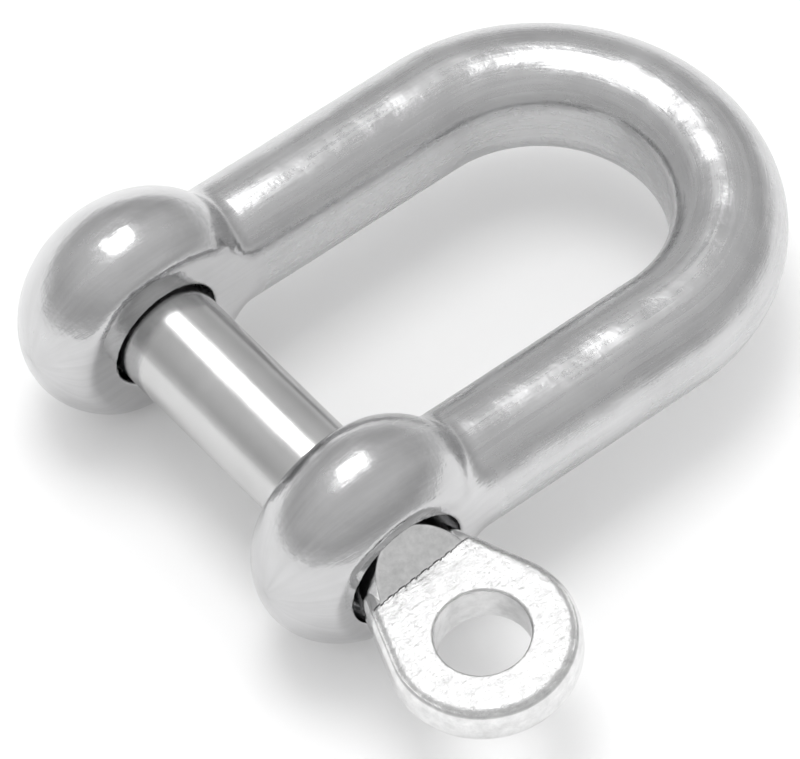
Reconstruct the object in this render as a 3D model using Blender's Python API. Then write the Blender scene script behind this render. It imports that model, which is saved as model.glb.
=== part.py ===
"""Straight dee shackle with a screw pin, in polished stainless steel, for a boat's rigging.

Metres, +Z up. The dee lies flat: X runs from the pin to the crown, Y along the pin with its eye at -Y.
The origin is the centre of the bottom of the object's box. The forged body is one piece with two ears.
The screw pin is made as its plain shank, its eye and its threaded tip, which meet at machined shoulders,
so that the shank can slide as the eye and the thread turn.
"""

import math

import bmesh
import bpy
from mathutils import Vector

# Body
BAR_RADIUS = 0.00535
FLAT_DEPTH = 0.0048  # from the bar's centreline to the flat that runs round the inside of the dee
JAW_WIDTH = 0.0214
STRAIGHT_LENGTH = 0.0325  # from the pin's axis to the centre of the crown's curve
EAR_RADIUS = 0.01055
NEAR_BALL_HALF = 0.0075  # half the near ball's thickness along the pin, before its faces are cut flat
FAR_BALL_HALF = 0.0080  # the far ear is left domed, with a narrow flat rim round its hole
EAR_CENTRE_DEPTH = 0.0048  # from an ear's inner face to the middle of its ball
NEAR_EAR_THICKNESS = 0.0103  # between the near ear's inner and outer faces
FAR_EAR_THICKNESS = 0.0115
EAR_FILLET = 0.0012

# Holes
NEAR_HOLE_RADIUS = 0.00565
FACE_CUT_RADIUS = 0.0125  # wider than the ear, so that its outer face is cut flat
THREAD_CLEARANCE = 0.0003
RECESS_DEPTH = 0.0013  # the plain recess at the start of the threaded hole
RECESS_STEP = 0.0001  # how much wider than the thread the recess is

# Screw pin
PIN_RADIUS = 0.0048
THREAD_PITCH = 0.0015
THREAD_DEPTH = 0.0009
NODE_GAP = 0.0003
SHANK_TIP_DEPTH = 0.0008  # how far the plain shank enters the far ear
THREAD_END_INSET = 0.0003
END_TAPER = 1.2  # the rise of the thread's tapered ends
SHANK_ROOT_DEPTH = 0.0080  # how far inside the near ear the eye's forging starts

# Pin eye
EYE_ROLL = math.radians(7.5)
EYE_RADIUS = 0.0081
EYE_REACH = 0.0097  # from the near ear's outer face to the middle of the eye
EYE_HALF_THICKNESS = 0.0021
EYE_HOLE_RADIUS = 0.0040
EYE_RIM_BEVEL = 0.0007
BLADE_ROOT = 0.0006  # how far inside the near ear's outer face the flat eye's flanks begin
RAMP_START = 0.0011  # how far inside that face the ramps begin
RAMP_END = 0.0021  # how far outside that face the ramps reach the eye's flats
RAMP_TIP = 0.001  # how far the pin's root runs on into the flat eye

# Fineness
BAR_SIDES = 32
CROWN_STEPS = 20
EAR_STEPS = 12
LEG_STEPS = 5
PIN_SIDES = 32
THREAD_SIDES = 24
ROWS_PER_PITCH = 8
EYE_STEPS = 36
RIM_STEPS = 3

HALF_JAW = JAW_WIDTH / 2
LEG_OFFSET = HALF_JAW + FLAT_DEPTH
NEAR_FACE = HALF_JAW + NEAR_EAR_THICKNESS
FAR_FACE = HALF_JAW + FAR_EAR_THICKNESS
EYE_MIDDLE = -NEAR_FACE - EYE_REACH
EYE_END = EYE_RADIUS - EYE_MIDDLE
CROWN_END = STRAIGHT_LENGTH + LEG_OFFSET + BAR_RADIUS
LARGE = 0.04
OVERLAP = 0.001


def pin_axis_place():
    """The pin axis's place that puts the origin at the bottom centre of the object's box."""
    return Vector(((EAR_RADIUS - CROWN_END) / 2, (EYE_END - FAR_FACE) / 2, EAR_RADIUS))


def make_material(name, colour, roughness):
    material = bpy.data.materials.new(name)
    material.use_nodes = True
    shader = material.node_tree.nodes["Principled BSDF"]
    shader.inputs["Base Color"].default_value = (*colour, 1.0)
    shader.inputs["Metallic"].default_value = 1.0
    shader.inputs["Roughness"].default_value = roughness
    material.diffuse_color = (*colour, 1.0)
    return material


def add_object(name, mesh_builder, parent, material=None):
    """One object from a bmesh, with its faces pointing out and its round faces smooth."""
    bmesh.ops.recalc_face_normals(mesh_builder, faces=mesh_builder.faces)
    mesh = bpy.data.meshes.new(name)
    mesh_builder.to_mesh(mesh)
    mesh_builder.free()
    mesh.shade_smooth()
    mesh.set_sharp_from_angle(angle=math.radians(30))
    if material:
        mesh.materials.append(material)
    thing = bpy.data.objects.new(name, mesh)
    thing.parent = parent
    bpy.context.scene.collection.objects.link(thing)
    return thing


def add_cutter(name, mesh_builder, parent):
    cutter = add_object(name, mesh_builder, parent)
    cutter.hide_render = True
    cutter.display_type = "WIRE"
    return cutter


def combine(target, tool, operation):
    modifier = target.modifiers.new(tool.name, "BOOLEAN")
    modifier.operation = operation
    modifier.solver = "EXACT"
    modifier.object = tool


def add_empty(name, parent, location):
    empty = bpy.data.objects.new(name, None)
    empty.empty_display_size = 0.01
    empty.parent = parent
    empty.location = location
    bpy.context.scene.collection.objects.link(empty)
    return empty


def join_rings(builder, rings, close_start, close_end):
    """Quads between neighbouring rings of the same length, with flat caps where asked."""
    for ring, following in zip(rings, rings[1:]):
        count = len(ring)
        for i in range(count):
            j = (i + 1) % count
            builder.faces.new((ring[i], ring[j], following[j], following[i]))
    if close_start:
        builder.faces.new(rings[0])
    if close_end:
        builder.faces.new(rings[-1])


def turned_shape(profile, sides, radius_at=None):
    """A closed solid about Y from (y, radius) points; a radius of None varies, as radius_at(y, turn) says."""
    builder = bmesh.new()
    rings = []
    for y, radius in profile:
        ring = []
        for i in range(sides):
            turn = 2 * math.pi * i / sides
            r = radius_at(y, turn) if radius is None else radius
            ring.append(builder.verts.new((r * math.sin(turn), y, r * math.cos(turn))))
        rings.append(ring)
    join_rings(builder, rings, True, True)
    return builder


# Body


def smooth_minimum(a, b, width):
    blend = max(width - abs(a - b), 0.0) / width
    return min(a, b) - blend * blend * width / 4


def body_field(x, depth, z, ball_half):
    """Roughly the distance outside the bar and the ear's ball; depth is measured out from the inner face."""
    bar = math.hypot(min(x, 0.0), depth - FLAT_DEPTH, z) - BAR_RADIUS
    scaled = (x / EAR_RADIUS, (depth - EAR_CENTRE_DEPTH) / ball_half, z / EAR_RADIUS)
    steep = math.hypot(scaled[0] / EAR_RADIUS, scaled[1] / ball_half, scaled[2] / EAR_RADIUS)
    size = math.hypot(*scaled)
    ball = size * (size - 1) / steep if steep > 0 else -ball_half
    return smooth_minimum(bar, ball, EAR_FILLET)


def surface_radius(x, centre_depth, turn, ball_half):
    """The body's radius in the section at x, from a centre at the given depth, in one direction."""
    low, high = 0.0, 2 * EAR_RADIUS
    for _ in range(40):
        middle = (low + high) / 2
        depth = centre_depth + middle * math.cos(turn)
        if body_field(x, depth, middle * math.sin(turn), ball_half) < 0:
            low = middle
        else:
            high = middle
    return low


def section(x, ball_half):
    """Points of the section at x along a leg, as (depth, height) from the inner face."""
    blend = min(max(x / EAR_RADIUS, 0.0), 1.0)
    blend = blend * blend * (3 - 2 * blend)
    centre = EAR_CENTRE_DEPTH + (FLAT_DEPTH - EAR_CENTRE_DEPTH) * blend
    points = []
    for i in range(BAR_SIDES):
        turn = 2 * math.pi * i / BAR_SIDES
        radius = surface_radius(x, centre, turn, ball_half)
        points.append((centre + radius * math.cos(turn), radius * math.sin(turn)))
    return points


def leg_stations():
    """Places along a leg, from just inside the ear's end to the start of the crown."""
    stations = [-EAR_RADIUS * math.cos(math.radians(90) * i / EAR_STEPS) for i in range(1, EAR_STEPS)]
    blend_end = 1.15 * EAR_RADIUS
    stations += [blend_end * i / EAR_STEPS for i in range(EAR_STEPS)]
    stations += [blend_end + (STRAIGHT_LENGTH - blend_end) * i / LEG_STEPS for i in range(LEG_STEPS + 1)]
    return stations


def forged_outline():
    """The body before its faces are cut: a bar along the U, swelling to a ball at each end."""
    builder = bmesh.new()

    def leg_ring(x, side):
        points = section(x, NEAR_BALL_HALF if side < 0 else FAR_BALL_HALF)
        return [builder.verts.new((x, side * (HALF_JAW + depth), z)) for depth, z in points]

    def crown_ring(turn):
        direction = Vector((math.cos(turn), math.sin(turn), 0))
        middle = Vector((STRAIGHT_LENGTH, 0, 0))
        up = Vector((0, 0, 1))
        bar = section(STRAIGHT_LENGTH, NEAR_BALL_HALF)
        return [builder.verts.new(middle + direction * (HALF_JAW + depth) + up * z) for depth, z in bar]

    near = [leg_ring(x, -1) for x in leg_stations()]
    crown = [crown_ring(math.pi * (i / CROWN_STEPS - 0.5)) for i in range(1, CROWN_STEPS)]
    far = [leg_ring(x, 1) for x in reversed(leg_stations())]
    rings = near + crown + far
    join_rings(builder, rings, False, False)
    for side, ring in ((-1, rings[0]), (1, rings[-1])):
        tip = builder.verts.new((-EAR_RADIUS, side * (HALF_JAW + EAR_CENTRE_DEPTH), 0))
        for i in range(BAR_SIDES):
            builder.faces.new((ring[i], ring[(i + 1) % BAR_SIDES], tip))
    return builder


def jaw_space():
    """The space inside the dee, whose walls are the ears' inner faces and the flat round the inside."""
    builder = bmesh.new()
    outline = [(-LARGE, -HALF_JAW)]
    for i in range(CROWN_STEPS + 1):
        turn = math.pi * (i / CROWN_STEPS - 0.5)
        outline.append((STRAIGHT_LENGTH + HALF_JAW * math.cos(turn), HALF_JAW * math.sin(turn)))
    outline.append((-LARGE, HALF_JAW))
    rings = [[builder.verts.new((x, y, z)) for x, y in outline] for z in (-LARGE, LARGE)]
    join_rings(builder, rings, True, True)
    return builder


def near_hole():
    """The plain hole in the near ear, and the cut that leaves its outer face flat."""
    steps = ((-HALF_JAW + OVERLAP, NEAR_HOLE_RADIUS), (-NEAR_FACE, NEAR_HOLE_RADIUS))
    outer = ((-NEAR_FACE, FACE_CUT_RADIUS), (-NEAR_FACE - LARGE, FACE_CUT_RADIUS))
    return turned_shape(steps + outer, PIN_SIDES)


def thread_radius(y, turn, crest):
    """The radius of a right-handed thread at a place along it and round it."""
    phase = 2 * math.pi * y / THREAD_PITCH - turn
    return crest - THREAD_DEPTH / 2 + THREAD_DEPTH / 2 * math.cos(phase)


def thread_rows(start, end):
    count = round((end - start) / THREAD_PITCH * ROWS_PER_PITCH)
    return [start + (end - start) * i / count for i in range(count + 1)]


def far_hole():
    """The threaded hole in the far ear: a plain recess, the thread, and the cut of the outer face."""
    crest = PIN_RADIUS + THREAD_CLEARANCE
    recess_radius = crest + RECESS_STEP
    thread_start = HALF_JAW + RECESS_DEPTH
    recess = [(HALF_JAW - OVERLAP, recess_radius), (thread_start, recess_radius)]
    thread = [(y, None) for y in thread_rows(thread_start, FAR_FACE)]
    outer = [(FAR_FACE, FACE_CUT_RADIUS), (FAR_FACE + LARGE, FACE_CUT_RADIUS)]

    def radius_at(y, turn):
        return thread_radius(y, turn, crest)

    return turned_shape(recess + thread + outer, THREAD_SIDES, radius_at)


def make_shackle_body(parent, material):
    body = add_object("shackle_body", forged_outline(), parent, material)
    for name, shape in (("jaw_space", jaw_space()), ("near_hole", near_hole()), ("far_hole", far_hole())):
        combine(body, add_cutter(name, shape, parent), "DIFFERENCE")
    return body


# Screw pin


def make_pin_shank(parent, material):
    """The plain part of the pin, from inside the near ear to inside the far ear."""
    near_end = -HALF_JAW - SHANK_ROOT_DEPTH
    far_end = HALF_JAW + SHANK_TIP_DEPTH
    profile = ((near_end, PIN_RADIUS), (far_end, PIN_RADIUS))
    return add_object("pin_shank", turned_shape(profile, PIN_SIDES), parent, material)


def make_pin_thread(parent, material):
    """The threaded tip, tapering a little at its end."""
    start = HALF_JAW + SHANK_TIP_DEPTH + NODE_GAP
    end = FAR_FACE - THREAD_END_INSET
    root = PIN_RADIUS - THREAD_DEPTH

    def radius_at(y, turn):
        radius = thread_radius(y, turn, PIN_RADIUS)
        lead = root + max(end - y, 0.0) * END_TAPER
        tail = root + max(y - start, 0.0) * END_TAPER
        return min(radius, max(lead, root), max(tail, root))

    profile = [(y, None) for y in thread_rows(start, end)]
    return add_object("pin_thread", turned_shape(profile, THREAD_SIDES, radius_at), parent, material)


def eye_outline():
    """The eye's outline: a round end with straight flanks to the pin's own width."""
    root = -NEAR_FACE + BLADE_ROOT
    reach = math.hypot(PIN_RADIUS, root - EYE_MIDDLE)
    first = math.atan2(root - EYE_MIDDLE, PIN_RADIUS) - math.acos(EYE_RADIUS / reach)
    sweep = math.pi + 2 * first
    points = [(-PIN_RADIUS, root), (PIN_RADIUS, root)]
    for i in range(EYE_STEPS + 1):
        turn = first - sweep * i / EYE_STEPS
        points.append((EYE_RADIUS * math.cos(turn), EYE_MIDDLE + EYE_RADIUS * math.sin(turn)))
    return points


def eye_blade():
    """The flat eye, with both of its rims rounded."""
    builder = bmesh.new()
    outline = eye_outline()

    def level(z, inset):
        ring = []
        for x, y in outline:
            away = Vector((x, y - EYE_MIDDLE))
            scale = 1 - inset / away.length
            ring.append(builder.verts.new((away.x * scale, EYE_MIDDLE + away.y * scale, z)))
        return ring

    levels = []
    for i in range(RIM_STEPS + 1):
        turn = math.pi / 2 * i / RIM_STEPS
        inset = EYE_RIM_BEVEL * (1 - math.sin(turn))
        levels.append((EYE_HALF_THICKNESS - EYE_RIM_BEVEL * (1 - math.cos(turn)), inset))
    tall = [(-z, inset) for z, inset in levels] + [(z, inset) for z, inset in reversed(levels)]
    rings = [level(z, inset) for z, inset in tall]
    join_rings(builder, rings, True, True)
    return builder


def ramp_wedge():
    """The side profile that cuts the pin's end to two ramps, drawn across the pin."""
    builder = bmesh.new()
    start = -NEAR_FACE + RAMP_START
    end = -NEAR_FACE - RAMP_END
    tall = PIN_RADIUS + OVERLAP
    steepness = (PIN_RADIUS - EYE_HALF_THICKNESS) / (start - end)
    top = start + (tall - PIN_RADIUS) / steepness
    tip = end - RAMP_TIP - OVERLAP
    half = [(-HALF_JAW, tall), (top, tall), (end, EYE_HALF_THICKNESS), (tip, EYE_HALF_THICKNESS)]
    outline = half + [(y, -z) for y, z in reversed(half)]
    rings = [[builder.verts.new((x, y, z)) for y, z in outline] for x in (-LARGE, LARGE)]
    join_rings(builder, rings, True, True)
    return builder


def make_pin_eye(parent, material):
    """The pin's round end, ramped on both sides down to the flat eye and its hole."""
    root_start = -HALF_JAW - SHANK_ROOT_DEPTH - NODE_GAP
    root_end = -NEAR_FACE - RAMP_END - RAMP_TIP
    profile = ((root_end, PIN_RADIUS), (root_start, PIN_RADIUS))
    eye = add_object("pin_eye", turned_shape(profile, PIN_SIDES), parent, material)
    wedge = add_cutter("ramp_wedge", ramp_wedge(), parent)
    blade = add_cutter("eye_blade", eye_blade(), parent)
    hole_shape = bmesh.new()
    rings = []
    for z in (-LARGE, LARGE):
        ring = []
        for i in range(PIN_SIDES):
            turn = 2 * math.pi * i / PIN_SIDES
            x = EYE_HOLE_RADIUS * math.cos(turn)
            y = EYE_MIDDLE + EYE_HOLE_RADIUS * math.sin(turn)
            ring.append(hole_shape.verts.new((x, y, z)))
        rings.append(ring)
    join_rings(hole_shape, rings, True, True)
    hole = add_cutter("eye_hole", hole_shape, parent)
    combine(eye, wedge, "INTERSECT")
    combine(eye, blade, "UNION")
    combine(eye, hole, "DIFFERENCE")
    return eye


def main():
    for thing in list(bpy.data.objects):
        bpy.data.objects.remove(thing)
    body_steel = make_material("body_steel", (0.66, 0.66, 0.67), 0.16)
    shank_steel = make_material("shank_steel", (0.66, 0.66, 0.66), 0.20)
    eye_steel = make_material("eye_steel", (0.74, 0.74, 0.74), 0.34)
    thread_steel = make_material("thread_steel", (0.60, 0.60, 0.61), 0.30)
    frame = add_empty("pin_axis", None, pin_axis_place())
    turning = add_empty("pin_turn", frame, (0, 0, 0))
    turning.rotation_euler = (0, -EYE_ROLL, 0)
    make_shackle_body(frame, body_steel)
    make_pin_shank(frame, shank_steel)
    make_pin_thread(frame, thread_steel)
    make_pin_eye(turning, eye_steel)


main()
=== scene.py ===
"""Dee shackle with a screw pin: the looks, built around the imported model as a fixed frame.

The forged body and the pin's eye are solid shapes written as distance functions. Each one starts as an
even, fine mesh of its CAD solid, whose points are then moved onto the smooth surface. The shank and the
thread are turned.
"""

import math

import bmesh
import bpy
import numpy as np
from mathutils import Matrix, Vector


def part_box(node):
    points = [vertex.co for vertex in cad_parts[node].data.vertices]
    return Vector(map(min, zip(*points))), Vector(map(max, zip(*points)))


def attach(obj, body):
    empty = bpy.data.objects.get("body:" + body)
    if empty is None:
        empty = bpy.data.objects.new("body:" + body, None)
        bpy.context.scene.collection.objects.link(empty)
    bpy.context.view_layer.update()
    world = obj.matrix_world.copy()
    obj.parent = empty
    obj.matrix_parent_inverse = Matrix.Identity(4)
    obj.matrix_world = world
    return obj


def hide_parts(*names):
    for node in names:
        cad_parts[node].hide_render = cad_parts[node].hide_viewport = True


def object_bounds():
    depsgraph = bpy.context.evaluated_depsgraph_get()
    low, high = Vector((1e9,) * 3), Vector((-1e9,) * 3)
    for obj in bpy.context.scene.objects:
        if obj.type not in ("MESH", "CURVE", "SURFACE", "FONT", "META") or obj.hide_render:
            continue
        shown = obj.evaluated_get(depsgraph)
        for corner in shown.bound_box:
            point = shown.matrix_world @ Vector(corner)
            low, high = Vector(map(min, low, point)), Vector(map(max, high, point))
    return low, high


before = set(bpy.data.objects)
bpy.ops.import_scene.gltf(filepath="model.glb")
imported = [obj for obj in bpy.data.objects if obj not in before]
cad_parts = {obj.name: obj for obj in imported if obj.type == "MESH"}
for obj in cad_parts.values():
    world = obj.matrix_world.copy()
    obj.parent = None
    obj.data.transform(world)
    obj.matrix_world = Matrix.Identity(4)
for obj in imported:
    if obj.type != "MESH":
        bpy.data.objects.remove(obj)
cad_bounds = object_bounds()

# Sizes, as in the CAD model, in metres
BAR_RADIUS = 0.00535
FLAT_DEPTH = 0.0048
HALF_JAW = 0.0107
STRAIGHT_LENGTH = 0.0325
EAR_RADIUS = 0.01055
NEAR_BALL_HALF = 0.0075
FAR_BALL_HALF = 0.0080
EAR_CENTRE_DEPTH = 0.0048
NEAR_FACE = HALF_JAW + 0.0103
FAR_FACE = HALF_JAW + 0.0115
NEAR_HOLE_RADIUS = 0.00565
THREAD_CLEARANCE = 0.0003
RECESS_DEPTH = 0.0013
RECESS_STEP = 0.0001
PIN_RADIUS = 0.0048
THREAD_PITCH = 0.0015
THREAD_DEPTH = 0.0009
SHANK_TIP = HALF_JAW + 0.0008
SHANK_ROOT = -HALF_JAW - 0.0080
EYE_ROLL = math.radians(7.5)
EYE_RADIUS = 0.0081
EYE_MIDDLE = -NEAR_FACE - 0.0097
EYE_HALF_THICKNESS = 0.0021
EYE_HOLE_RADIUS = 0.0040
BLADE_ROOT = -NEAR_FACE + 0.0006
RAMP_START = -NEAR_FACE + 0.0011
RAMP_END = -NEAR_FACE - 0.0021
ROOT_END = RAMP_END - 0.0012
THREAD_END = FAR_FACE - 0.0003
END_TAPER = 1.2  # the rise of the thread's tapered ends
SHANK_CHAMFER = 0.0002
SHANK_EDGE = 0.00003
SHANK_EDGE_LENGTH = 0.00005

# Rounding of the edges
FORGED_FILLET = 0.0011
FLAT_EDGE = 0.0007
HOLE_EDGE = 0.0003
EYE_RIM = 0.0014
RAMP_EDGE = 0.00015

# Fineness of the meshes
BODY_GRID = 0.00026
EYE_GRID = 0.00016
SURFACE_STEPS = 6
PROBE = 0.00001
TURNED_SIDES = 96
ROWS_PER_PITCH = 20
SHARP_ANGLE = math.radians(40)
LEAST_STEEPNESS = 0.05  # keeps a point's step short where the distance hardly changes

# Where the finishes change
EAR_POLISH_REACH = 1.05 * EAR_RADIUS
EAR_POLISH_FADE = 0.0015
ROUGH_FACE_START = EYE_HALF_THICKNESS - 0.00025
ROUGH_FACE_FADE = 0.0002

# Camera and studio
CAMERA_AZIMUTH = math.radians(-130.53)
CAMERA_ELEVATION = math.radians(52.05)
CAMERA_ROLL = math.radians(1.12)
CAMERA_DISTANCE = 0.5535
CAMERA_ASIDE = 0.012738
CAMERA_ABOVE = 0.002786
CAMERA_NEAREST = 0.01
SENSOR_WIDTH = 36
VIEW_WIDTH = 1 / 15  # how wide the view is at PIN_AXIS
SIDE_FILLS = 6
SIDE_FILL_RISE = 0.45
FLOOR_HALF_WIDTH = 2.0
FLOOR_GAP = 0.00005

ear_low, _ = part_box("shackle_body")
pin_low, pin_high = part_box("pin_shank")
PIN_AXIS = Vector(((pin_low[0] + pin_high[0]) / 2, ear_low[1] + NEAR_FACE, (pin_low[2] + pin_high[2]) / 2))


# Distance functions: negative inside, on arrays of places measured from the pin's axis


def soft_min(a, b, width):
    blend = np.maximum(width - np.abs(a - b), 0) / width
    return np.minimum(a, b) - blend * blend * width / 4


def soft_max(a, b, width):
    return -soft_min(-a, -b, width)


def thread_radius(y, turn, crest):
    """The radius of a right-handed thread at a place along it and round it."""
    phase = 2 * math.pi * y / THREAD_PITCH - turn
    return crest - THREAD_DEPTH / 2 + THREAD_DEPTH / 2 * np.cos(phase)


def body_distance(p):
    """The forged body: a bar along a U and two ear balls, cut flat inside and out, with its two holes."""
    x, y, z = p[:, 0], p[:, 1], p[:, 2]
    beyond = x - STRAIGHT_LENGTH
    out = np.where(beyond > 0, np.hypot(beyond, y), np.abs(y))
    depth = out - HALF_JAW
    bar = np.sqrt(np.minimum(x, 0) ** 2 + (depth - FLAT_DEPTH) ** 2 + z**2) - BAR_RADIUS
    side = np.abs(y) - HALF_JAW - EAR_CENTRE_DEPTH
    ball_half = np.where(y < 0, NEAR_BALL_HALF, FAR_BALL_HALF)
    sizes = np.stack([np.full_like(x, EAR_RADIUS), ball_half, np.full_like(x, EAR_RADIUS)])
    scaled = np.stack([x, side, z]) / sizes
    reach = np.sqrt((scaled**2).sum(axis=0))
    steep = np.sqrt(((scaled / sizes) ** 2).sum(axis=0))
    ball = reach * (reach - 1) / np.maximum(steep, 1e-6)
    solid = soft_min(bar, ball, FORGED_FILLET)
    solid = soft_max(solid, -depth, FLAT_EDGE)
    solid = soft_max(solid, np.maximum(-NEAR_FACE - y, y - FAR_FACE), HOLE_EDGE)
    radius = np.hypot(x, z)
    crest = PIN_RADIUS + THREAD_CLEARANCE
    thread = thread_radius(y, np.arctan2(x, z), crest)
    recess = np.where(y < HALF_JAW + RECESS_DEPTH, crest + RECESS_STEP, thread)
    hole = np.where(y < 0, NEAR_HOLE_RADIUS, recess)
    return soft_max(solid, hole - radius, HOLE_EDGE)


def eye_outline_distance(x, y):
    """In the eye's plane: a round end, with straight flanks that meet the pin's sides."""
    across = np.abs(x)
    along = y - EYE_MIDDLE
    root = BLADE_ROOT - EYE_MIDDLE
    reach = math.hypot(PIN_RADIUS, root)
    turn = math.atan2(root, PIN_RADIUS) - math.acos(EYE_RADIUS / reach)
    normal = (math.cos(turn), math.sin(turn))
    flank = across * normal[0] + along * normal[1] - EYE_RADIUS
    past_tangent = along * normal[0] - across * normal[1] > 0
    round_end = np.hypot(across, along) - EYE_RADIUS
    return np.where(past_tangent, flank, round_end)


def eye_distance(p):
    """The pin's round end, cut by two ramps down to the flat eye, with the eye's hole."""
    x, y, z = p[:, 0], p[:, 1], p[:, 2]
    slope = (PIN_RADIUS - EYE_HALF_THICKNESS) / (RAMP_START - RAMP_END)
    ramp = (np.abs(z) - EYE_HALF_THICKNESS - (y - RAMP_END) * slope) / math.hypot(1, slope)
    flat = np.abs(z) - EYE_HALF_THICKNESS
    root = soft_max(np.hypot(x, z) - PIN_RADIUS, np.minimum(ramp, flat), RAMP_EDGE)
    root = np.maximum(root, ROOT_END - y)
    blade = soft_max(eye_outline_distance(x, y), flat, EYE_RIM)
    blade = np.maximum(blade, y - BLADE_ROOT)
    solid = soft_min(root, blade, RAMP_EDGE)
    solid = soft_max(solid, y - SHANK_ROOT, HOLE_EDGE)
    hole = EYE_HOLE_RADIUS - np.hypot(x, y - EYE_MIDDLE)
    return soft_max(solid, hole, HOLE_EDGE)


def gradient(distance, p):
    parts = []
    for axis in range(3):
        offset = np.zeros(3)
        offset[axis] = PROBE
        parts.append((distance(p + offset) - distance(p - offset)) / (2 * PROBE))
    return np.stack(parts, axis=1)


def solid_piece(name, node, grid, distance, placing):
    """A fine mesh of a CAD node, moved to where the distance is zero, with that surface's normals."""
    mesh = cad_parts[node].data.copy()
    piece = bpy.data.objects.new(name, mesh)
    bpy.context.scene.collection.objects.link(piece)
    builder = bmesh.new()
    builder.from_mesh(mesh)
    bmesh.ops.remove_doubles(builder, verts=builder.verts, dist=1e-7)
    builder.to_mesh(mesh)
    builder.free()
    remesh = piece.modifiers.new("even_grid", "REMESH")
    remesh.mode = "VOXEL"
    remesh.voxel_size = grid
    graph = bpy.context.evaluated_depsgraph_get()
    fine = bpy.data.meshes.new_from_object(piece.evaluated_get(graph))
    piece.modifiers.clear()
    piece.data = fine
    points = np.empty(len(fine.vertices) * 3)
    fine.vertices.foreach_get("co", points)
    inward = np.array(placing.inverted())
    outward = np.array(placing)
    points = points.reshape(-1, 3) @ inward[:3, :3].T + inward[:3, 3]
    for _ in range(SURFACE_STEPS):
        slope = gradient(distance, points)
        steep = np.maximum((slope**2).sum(axis=1), LEAST_STEEPNESS)
        step = (distance(points) / steep)[:, None] * slope
        length = np.maximum(np.linalg.norm(step, axis=1), 1e-12)
        points -= step * np.minimum(1, grid / length)[:, None]
    normals = gradient(distance, points)
    normals /= np.maximum(np.linalg.norm(normals, axis=1), 1e-9)[:, None]
    fine.vertices.foreach_set("co", (points @ outward[:3, :3].T + outward[:3, 3]).ravel())
    fine.shade_smooth()
    fine.update()
    fine.normals_split_custom_set_from_vertices(normals @ outward[:3, :3].T)
    fine.materials.clear()
    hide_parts(node)
    return piece, points


def store(piece, name, kind, values):
    """Stores a value for each point, which the piece's material reads by name."""
    attribute = piece.data.attributes.new(name, kind, "POINT")
    attribute.data.foreach_set("vector" if kind == "FLOAT_VECTOR" else "value", values.ravel())


def add_body_grain(piece, points):
    """Stores each point's place along the bar and round it, and 1 on the ears, for the forging's grain."""
    x, y, z = points[:, 0], points[:, 1], points[:, 2]
    side = np.where(y < 0, -1.0, 1.0)
    turn = np.arctan2(y, np.maximum(x - STRAIGHT_LENGTH, 0))
    on_leg = x < STRAIGHT_LENGTH
    centre_radius = HALF_JAW + FLAT_DEPTH
    quarter = centre_radius * math.pi / 2
    along = np.where(on_leg, side * (quarter + STRAIGHT_LENGTH - x), centre_radius * turn)
    out = np.where(on_leg, np.abs(y), np.hypot(x - STRAIGHT_LENGTH, y)) - centre_radius
    round_bar = np.arctan2(np.abs(z), out) * BAR_RADIUS
    ear = np.clip((EAR_POLISH_REACH - np.hypot(x, z)) / EAR_POLISH_FADE, 0, 1)
    store(piece, "grain", "FLOAT_VECTOR", np.stack([along, round_bar, ear], axis=1))


def turned_piece(name, node, profile, radius_at=None):
    """A closed solid about the pin's axis from (y, radius) points; a radius of None varies with the turn."""
    builder = bmesh.new()
    turns = [2 * math.pi * i / TURNED_SIDES for i in range(TURNED_SIDES)]
    rings = []
    for y, radius in profile:
        radii = [radius_at(y, turn) if radius is None else radius for turn in turns]
        places = [PIN_AXIS + Vector((r * math.sin(t), y, r * math.cos(t))) for r, t in zip(radii, turns)]
        rings.append([builder.verts.new(place) for place in places])
    for ring, following in zip(rings, rings[1:]):
        for i in range(TURNED_SIDES):
            j = (i + 1) % TURNED_SIDES
            builder.faces.new((ring[i], ring[j], following[j], following[i]))
    builder.faces.new(rings[0])
    builder.faces.new(rings[-1])
    bmesh.ops.recalc_face_normals(builder, faces=builder.faces)
    mesh = bpy.data.meshes.new(name)
    builder.to_mesh(mesh)
    builder.free()
    mesh.shade_smooth()
    mesh.set_sharp_from_angle(angle=SHARP_ANGLE)
    piece = bpy.data.objects.new(name, mesh)
    bpy.context.scene.collection.objects.link(piece)
    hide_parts(node)
    return piece


def shank_profile():
    """The turned shank, with a small chamfer before the thread."""
    return [
        (SHANK_ROOT, PIN_RADIUS - SHANK_EDGE),
        (SHANK_ROOT + SHANK_EDGE_LENGTH, PIN_RADIUS),
        (SHANK_TIP - SHANK_CHAMFER, PIN_RADIUS),
        (SHANK_TIP, PIN_RADIUS - SHANK_CHAMFER),
    ]


def thread_piece():
    """The threaded tip, tapering at both ends to its root."""
    root = PIN_RADIUS - THREAD_DEPTH
    length = THREAD_END - SHANK_TIP
    count = round(length / THREAD_PITCH * ROWS_PER_PITCH)

    def radius_at(y, turn):
        radius = float(thread_radius(y, turn, PIN_RADIUS))
        lead = root + (THREAD_END - y) * END_TAPER
        tail = root + (y - SHANK_TIP) * END_TAPER
        return min(radius, max(lead, root), max(tail, root))

    profile = [(SHANK_TIP + length * i / count, None) for i in range(count + 1)]
    return turned_piece("threaded_tip", "pin_thread", profile, radius_at)


# Materials


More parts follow.
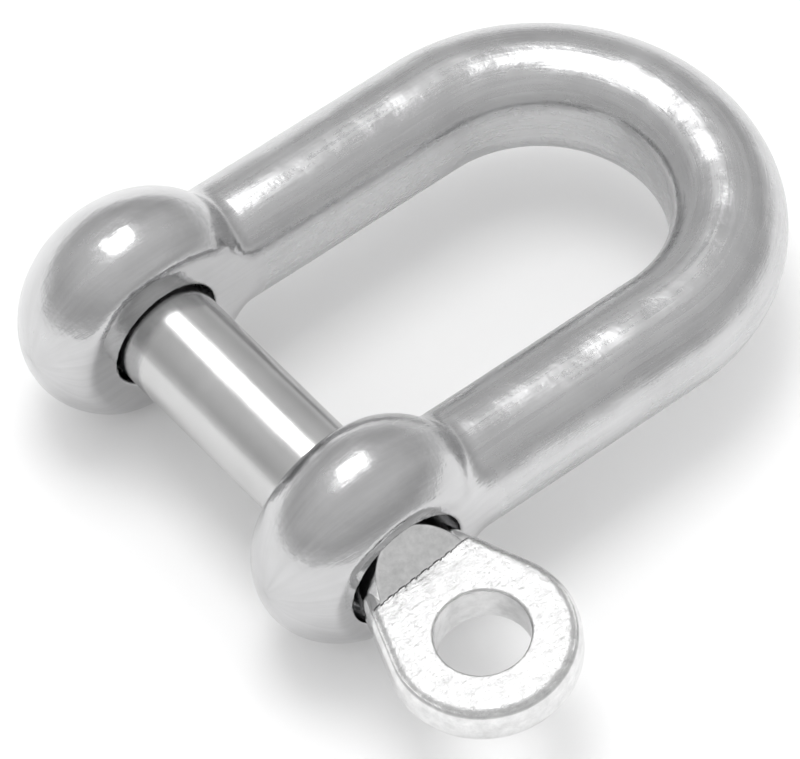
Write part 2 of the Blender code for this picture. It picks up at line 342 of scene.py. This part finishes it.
class Nodes:
    """A short way to add and link a material's nodes."""

    def __init__(self, name):
        self.material = bpy.data.materials.new(name)
        self.material.use_nodes = True
        self.tree = self.material.node_tree
        self.shader = self.tree.nodes["Principled BSDF"]

    def add(self, kind, settings=None, **inputs):
        node = self.tree.nodes.new(kind)
        for key, value in (settings or {}).items():
            setattr(node, key, value)
        for key, value in inputs.items():
            self.put(node.inputs[key.replace("_", " ")], value)
        return node

    def put(self, socket, value):
        if isinstance(value, bpy.types.NodeSocket):
            self.tree.links.new(value, socket)
        else:
            socket.default_value = value

    def place(self):
        return self.add("ShaderNodeTexCoord").outputs["Object"]

    def stored(self, name, output):
        return self.add("ShaderNodeAttribute", {"attribute_name": name}).outputs[output]

    def stretched(self, vector, scale):
        node = self.add("ShaderNodeMapping", Vector=vector, Scale=scale)
        return node.outputs["Vector"]

    def noise(self, vector, scale, detail=3.0, roughness=0.5):
        node = self.add("ShaderNodeTexNoise", Vector=vector, Scale=scale, Detail=detail, Roughness=roughness)
        return node.outputs["Fac"]

    def spread(self, value, low, high, from_low=0.3, from_high=0.7):
        """The value's usual range, carried to another range."""
        node = self.add("ShaderNodeMapRange")
        names = ("From Min", "From Max", "To Min", "To Max")
        for name, number in zip(names, (from_low, from_high, low, high)):
            node.inputs[name].default_value = number
        self.put(node.inputs["Value"], value)
        return node.outputs["Result"]

    def sum(self, first, second, operation="ADD"):
        node = self.add("ShaderNodeMath", {"operation": operation})
        self.put(node.inputs[0], first)
        self.put(node.inputs[1], second)
        return node.outputs["Value"]

    def grey(self, value, dark, light):
        """A colour between two greys."""
        node = self.add("ShaderNodeMix", {"data_type": "RGBA"})
        self.put(node.inputs["Factor"], value)
        node.inputs["A"].default_value = (*dark, 1)
        node.inputs["B"].default_value = (*light, 1)
        return node.outputs["Result"]

    def bump(self, height, distance, normal=None):
        node = self.add("ShaderNodeBump", Height=height, Distance=distance)
        node.inputs["Strength"].default_value = 1.0
        if normal:
            self.put(node.inputs["Normal"], normal)
        return node.outputs["Normal"]

    def steel(self, colour, roughness, normal):
        self.shader.inputs["Metallic"].default_value = 1.0
        self.put(self.shader.inputs["Base Color"], colour)
        self.put(self.shader.inputs["Roughness"], roughness)
        self.put(self.shader.inputs["Normal"], normal)
        return self.material


def body_steel():
    """Forged and polished: mirror-like ears, a hazy bar with fine streaks along it."""
    nodes = Nodes("body_steel")
    place = nodes.place()
    grain = nodes.stored("grain", "Vector")
    streaks = nodes.noise(nodes.stretched(grain, (60, 1400, 1)), 1.0, 4.0, 0.6)
    fine = nodes.noise(nodes.stretched(grain, (260, 5200, 1)), 1.0, 2.0, 0.5)
    cloud = nodes.noise(place, 130, 4.0, 0.55)
    ripple = nodes.noise(place, 75, 2.0, 0.5)
    mottle = nodes.noise(place, 900, 3.0, 0.6)
    shade = nodes.spread(nodes.sum(cloud, streaks), 0, 1, 0.7, 1.3)
    colour = nodes.grey(shade, (0.52, 0.52, 0.525), (0.63, 0.63, 0.635))
    ear = nodes.add("ShaderNodeSeparateXYZ", Vector=grain).outputs["Z"]
    bar_haze = nodes.spread(ear, 0.12, 0.0, 0.0, 1.0)
    haze = nodes.sum(nodes.spread(streaks, 0.0, 0.10), nodes.spread(cloud, 0.06, 0.14))
    roughness = nodes.sum(nodes.sum(haze, bar_haze), nodes.spread(mottle, -0.02, 0.03))
    swell = nodes.bump(ripple, 0.0009, nodes.bump(cloud, 0.00015))
    marks = nodes.bump(nodes.sum(streaks, mottle), 0.00003, swell)
    normal = nodes.bump(fine, 0.000005, marks)
    return nodes.steel(colour, roughness, normal)


def shank_steel():
    """Turned and polished, with faint rings round the pin."""
    nodes = Nodes("shank_steel")
    place = nodes.place()
    rings = nodes.noise(nodes.stretched(place, (30, 5000, 30)), 1.0, 3.0, 0.6)
    scratches = nodes.noise(nodes.stretched(place, (900, 60, 900)), 1.0, 3.0, 0.6)
    cloud = nodes.noise(place, 160, 3.0, 0.5)
    colour = nodes.grey(nodes.spread(cloud, 0, 1), (0.55, 0.55, 0.55), (0.62, 0.62, 0.62))
    roughness = nodes.sum(nodes.spread(scratches, 0.12, 0.22), nodes.spread(cloud, 0.0, 0.06))
    normal = nodes.bump(rings, 0.000006, nodes.bump(scratches, 0.000008))
    return nodes.steel(colour, roughness, normal)


def thread_steel():
    """Cut threads, darker and rougher than the shank."""
    nodes = Nodes("thread_steel")
    place = nodes.place()
    cloud = nodes.noise(place, 500, 4.0, 0.6)
    colour = nodes.grey(nodes.spread(cloud, 0, 1), (0.42, 0.42, 0.43), (0.56, 0.56, 0.57))
    return nodes.steel(colour, nodes.spread(cloud, 0.2, 0.4), nodes.bump(cloud, 0.00003))


def eye_steel():
    """The forged eye: bright and rough on its flats, polished on its rim and ramps."""
    nodes = Nodes("eye_steel")
    place = nodes.place()
    rough_part = nodes.stored("rough_face", "Fac")
    pits = nodes.noise(place, 900, 5.0, 0.65)
    drag = nodes.noise(nodes.stretched(place, (1100, 1900, 1100)), 1.0, 5.0, 0.7)
    cloud = nodes.noise(place, 220, 3.0, 0.5)
    colour = nodes.grey(nodes.spread(pits, 0, 1), (0.64, 0.64, 0.64), (0.86, 0.86, 0.86))
    rough_face = nodes.spread(drag, 0.25, 0.45)
    polished = nodes.spread(cloud, 0.12, 0.22)
    mix = nodes.add("ShaderNodeMix", {"data_type": "FLOAT"})
    nodes.put(mix.inputs["Factor"], rough_part)
    nodes.put(mix.inputs["A"], polished)
    nodes.put(mix.inputs["B"], rough_face)
    height = nodes.sum(nodes.sum(pits, drag), rough_part, "MULTIPLY")
    normal = nodes.bump(height, 0.00013, nodes.bump(cloud, 0.00006))
    return nodes.steel(colour, mix.outputs["Result"], normal)


def floor_material():
    nodes = Nodes("pale_floor")
    place = nodes.place()
    shade = nodes.noise(place, 3.0, 2.0, 0.5)
    colour = nodes.grey(nodes.spread(shade, 0, 1), (0.93, 0.93, 0.93), (0.95, 0.95, 0.95))
    nodes.put(nodes.shader.inputs["Base Color"], colour)
    nodes.shader.inputs["Roughness"].default_value = 0.8
    return nodes.material


# The object


def make_body():
    placing = Matrix.Translation(PIN_AXIS)
    body, points = solid_piece("forged_body", "shackle_body", BODY_GRID, body_distance, placing)
    add_body_grain(body, points)
    body.data.materials.append(body_steel())
    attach(body, "shackle")


def make_eye():
    placing = Matrix.Translation(PIN_AXIS) @ Matrix.Rotation(-EYE_ROLL, 4, "Y")
    eye, points = solid_piece("forged_eye", "pin_eye", EYE_GRID, eye_distance, placing)
    flatness = np.clip((np.abs(points[:, 2]) - ROUGH_FACE_START) / ROUGH_FACE_FADE, 0, 1)
    store(eye, "rough_face", "FLOAT", np.where(points[:, 1] < RAMP_END, flatness, 0.0))
    eye.data.materials.append(eye_steel())
    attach(eye, "pin")


def make_shank():
    shank = turned_piece("turned_shank", "pin_shank", shank_profile())
    shank.data.materials.append(shank_steel())
    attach(shank, "pin_travel")


def make_thread():
    thread = thread_piece()
    thread.data.materials.append(thread_steel())
    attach(thread, "pin")


# The studio


def make_camera():
    towards = Vector((
        math.cos(CAMERA_ELEVATION) * math.cos(CAMERA_AZIMUTH),
        math.cos(CAMERA_ELEVATION) * math.sin(CAMERA_AZIMUTH),
        math.sin(CAMERA_ELEVATION),
    ))
    level = Vector((-math.sin(CAMERA_AZIMUTH), math.cos(CAMERA_AZIMUTH), 0))
    upright = towards.cross(level)
    right = level * math.cos(CAMERA_ROLL) + upright * math.sin(CAMERA_ROLL)
    up = towards.cross(right)
    data = bpy.data.cameras.new("camera")
    data.sensor_width = SENSOR_WIDTH
    data.lens = SENSOR_WIDTH * CAMERA_DISTANCE / VIEW_WIDTH
    data.clip_start = CAMERA_NEAREST
    camera = bpy.data.objects.new("camera", data)
    place = PIN_AXIS + towards * CAMERA_DISTANCE + right * CAMERA_ASIDE + up * CAMERA_ABOVE
    turn = Matrix((right, up, towards)).transposed()
    camera.matrix_world = Matrix.Translation(place) @ turn.to_4x4()
    bpy.context.scene.collection.objects.link(camera)
    bpy.context.scene.camera = camera


def make_softbox(name, direction, distance, width, height, power, in_reflections=True):
    data = bpy.data.lights.new(name, "AREA")
    data.shape = "RECTANGLE"
    data.size = width
    data.size_y = height
    data.energy = power
    light = bpy.data.objects.new(name, data)
    away = Vector(direction).normalized()
    light.location = away * distance
    light.rotation_euler = away.to_track_quat("Z", "Y").to_euler()
    light.visible_glossy = in_reflections
    bpy.context.scene.collection.objects.link(light)


def make_lights():
    """One softbox that shows in the steel, and fills that only lighten the floor and its shadows."""
    make_softbox("overhead_softbox", (0.05, 0.27, 0.95), 0.7, 0.34, 0.36, 1.55)
    make_softbox("floor_fill", (0.1, 0.3, 1.0), 1.6, 1.6, 1.6, 2.5, in_reflections=False)
    for side in range(SIDE_FILLS):
        around = 2 * math.pi * side / SIDE_FILLS
        direction = (math.cos(around), math.sin(around), SIDE_FILL_RISE)
        make_softbox(f"side_fill_{side}", direction, 1.2, 1.2, 0.8, 2.0, in_reflections=False)


def make_world():
    """A soft studio: a pale ceiling, greyer walls and a pale horizon."""
    world = bpy.data.worlds.new("studio")
    world.use_nodes = True
    tree = world.node_tree
    background = tree.nodes["Background"]
    place = tree.nodes.new("ShaderNodeTexCoord")
    split = tree.nodes.new("ShaderNodeSeparateXYZ")
    ramp = tree.nodes.new("ShaderNodeValToRGB")
    tree.links.new(place.outputs["Generated"], split.inputs["Vector"])
    tree.links.new(split.outputs["Z"], ramp.inputs["Fac"])
    tree.links.new(ramp.outputs["Color"], background.inputs["Color"])
    stops = ((0.0, 0.85), (0.12, 0.70), (0.32, 0.53), (0.48, 0.58), (0.75, 0.70), (1.0, 0.72))
    elements = ramp.color_ramp.elements
    while len(elements) < len(stops):
        elements.new(0.5)
    for element, (position, grey) in zip(elements, stops):
        element.position = position
        element.color = (grey, grey, grey, 1)
    background.inputs["Strength"].default_value = 1.0
    bpy.context.scene.world = world


def make_floor():
    mesh = bpy.data.meshes.new("floor")
    builder = bmesh.new()
    bmesh.ops.create_grid(builder, x_segments=2, y_segments=2, size=FLOOR_HALF_WIDTH)
    builder.to_mesh(mesh)
    builder.free()
    mesh.materials.append(floor_material())
    floor = bpy.data.objects.new("floor", mesh)
    floor.location.z = cad_bounds[0][2] - FLOOR_GAP
    bpy.context.scene.collection.objects.link(floor)


make_body()
make_eye()
make_shank()
make_thread()
make_camera()
make_world()
make_floor()
make_lights()
bpy.context.scene.view_settings.view_transform = "Standard"
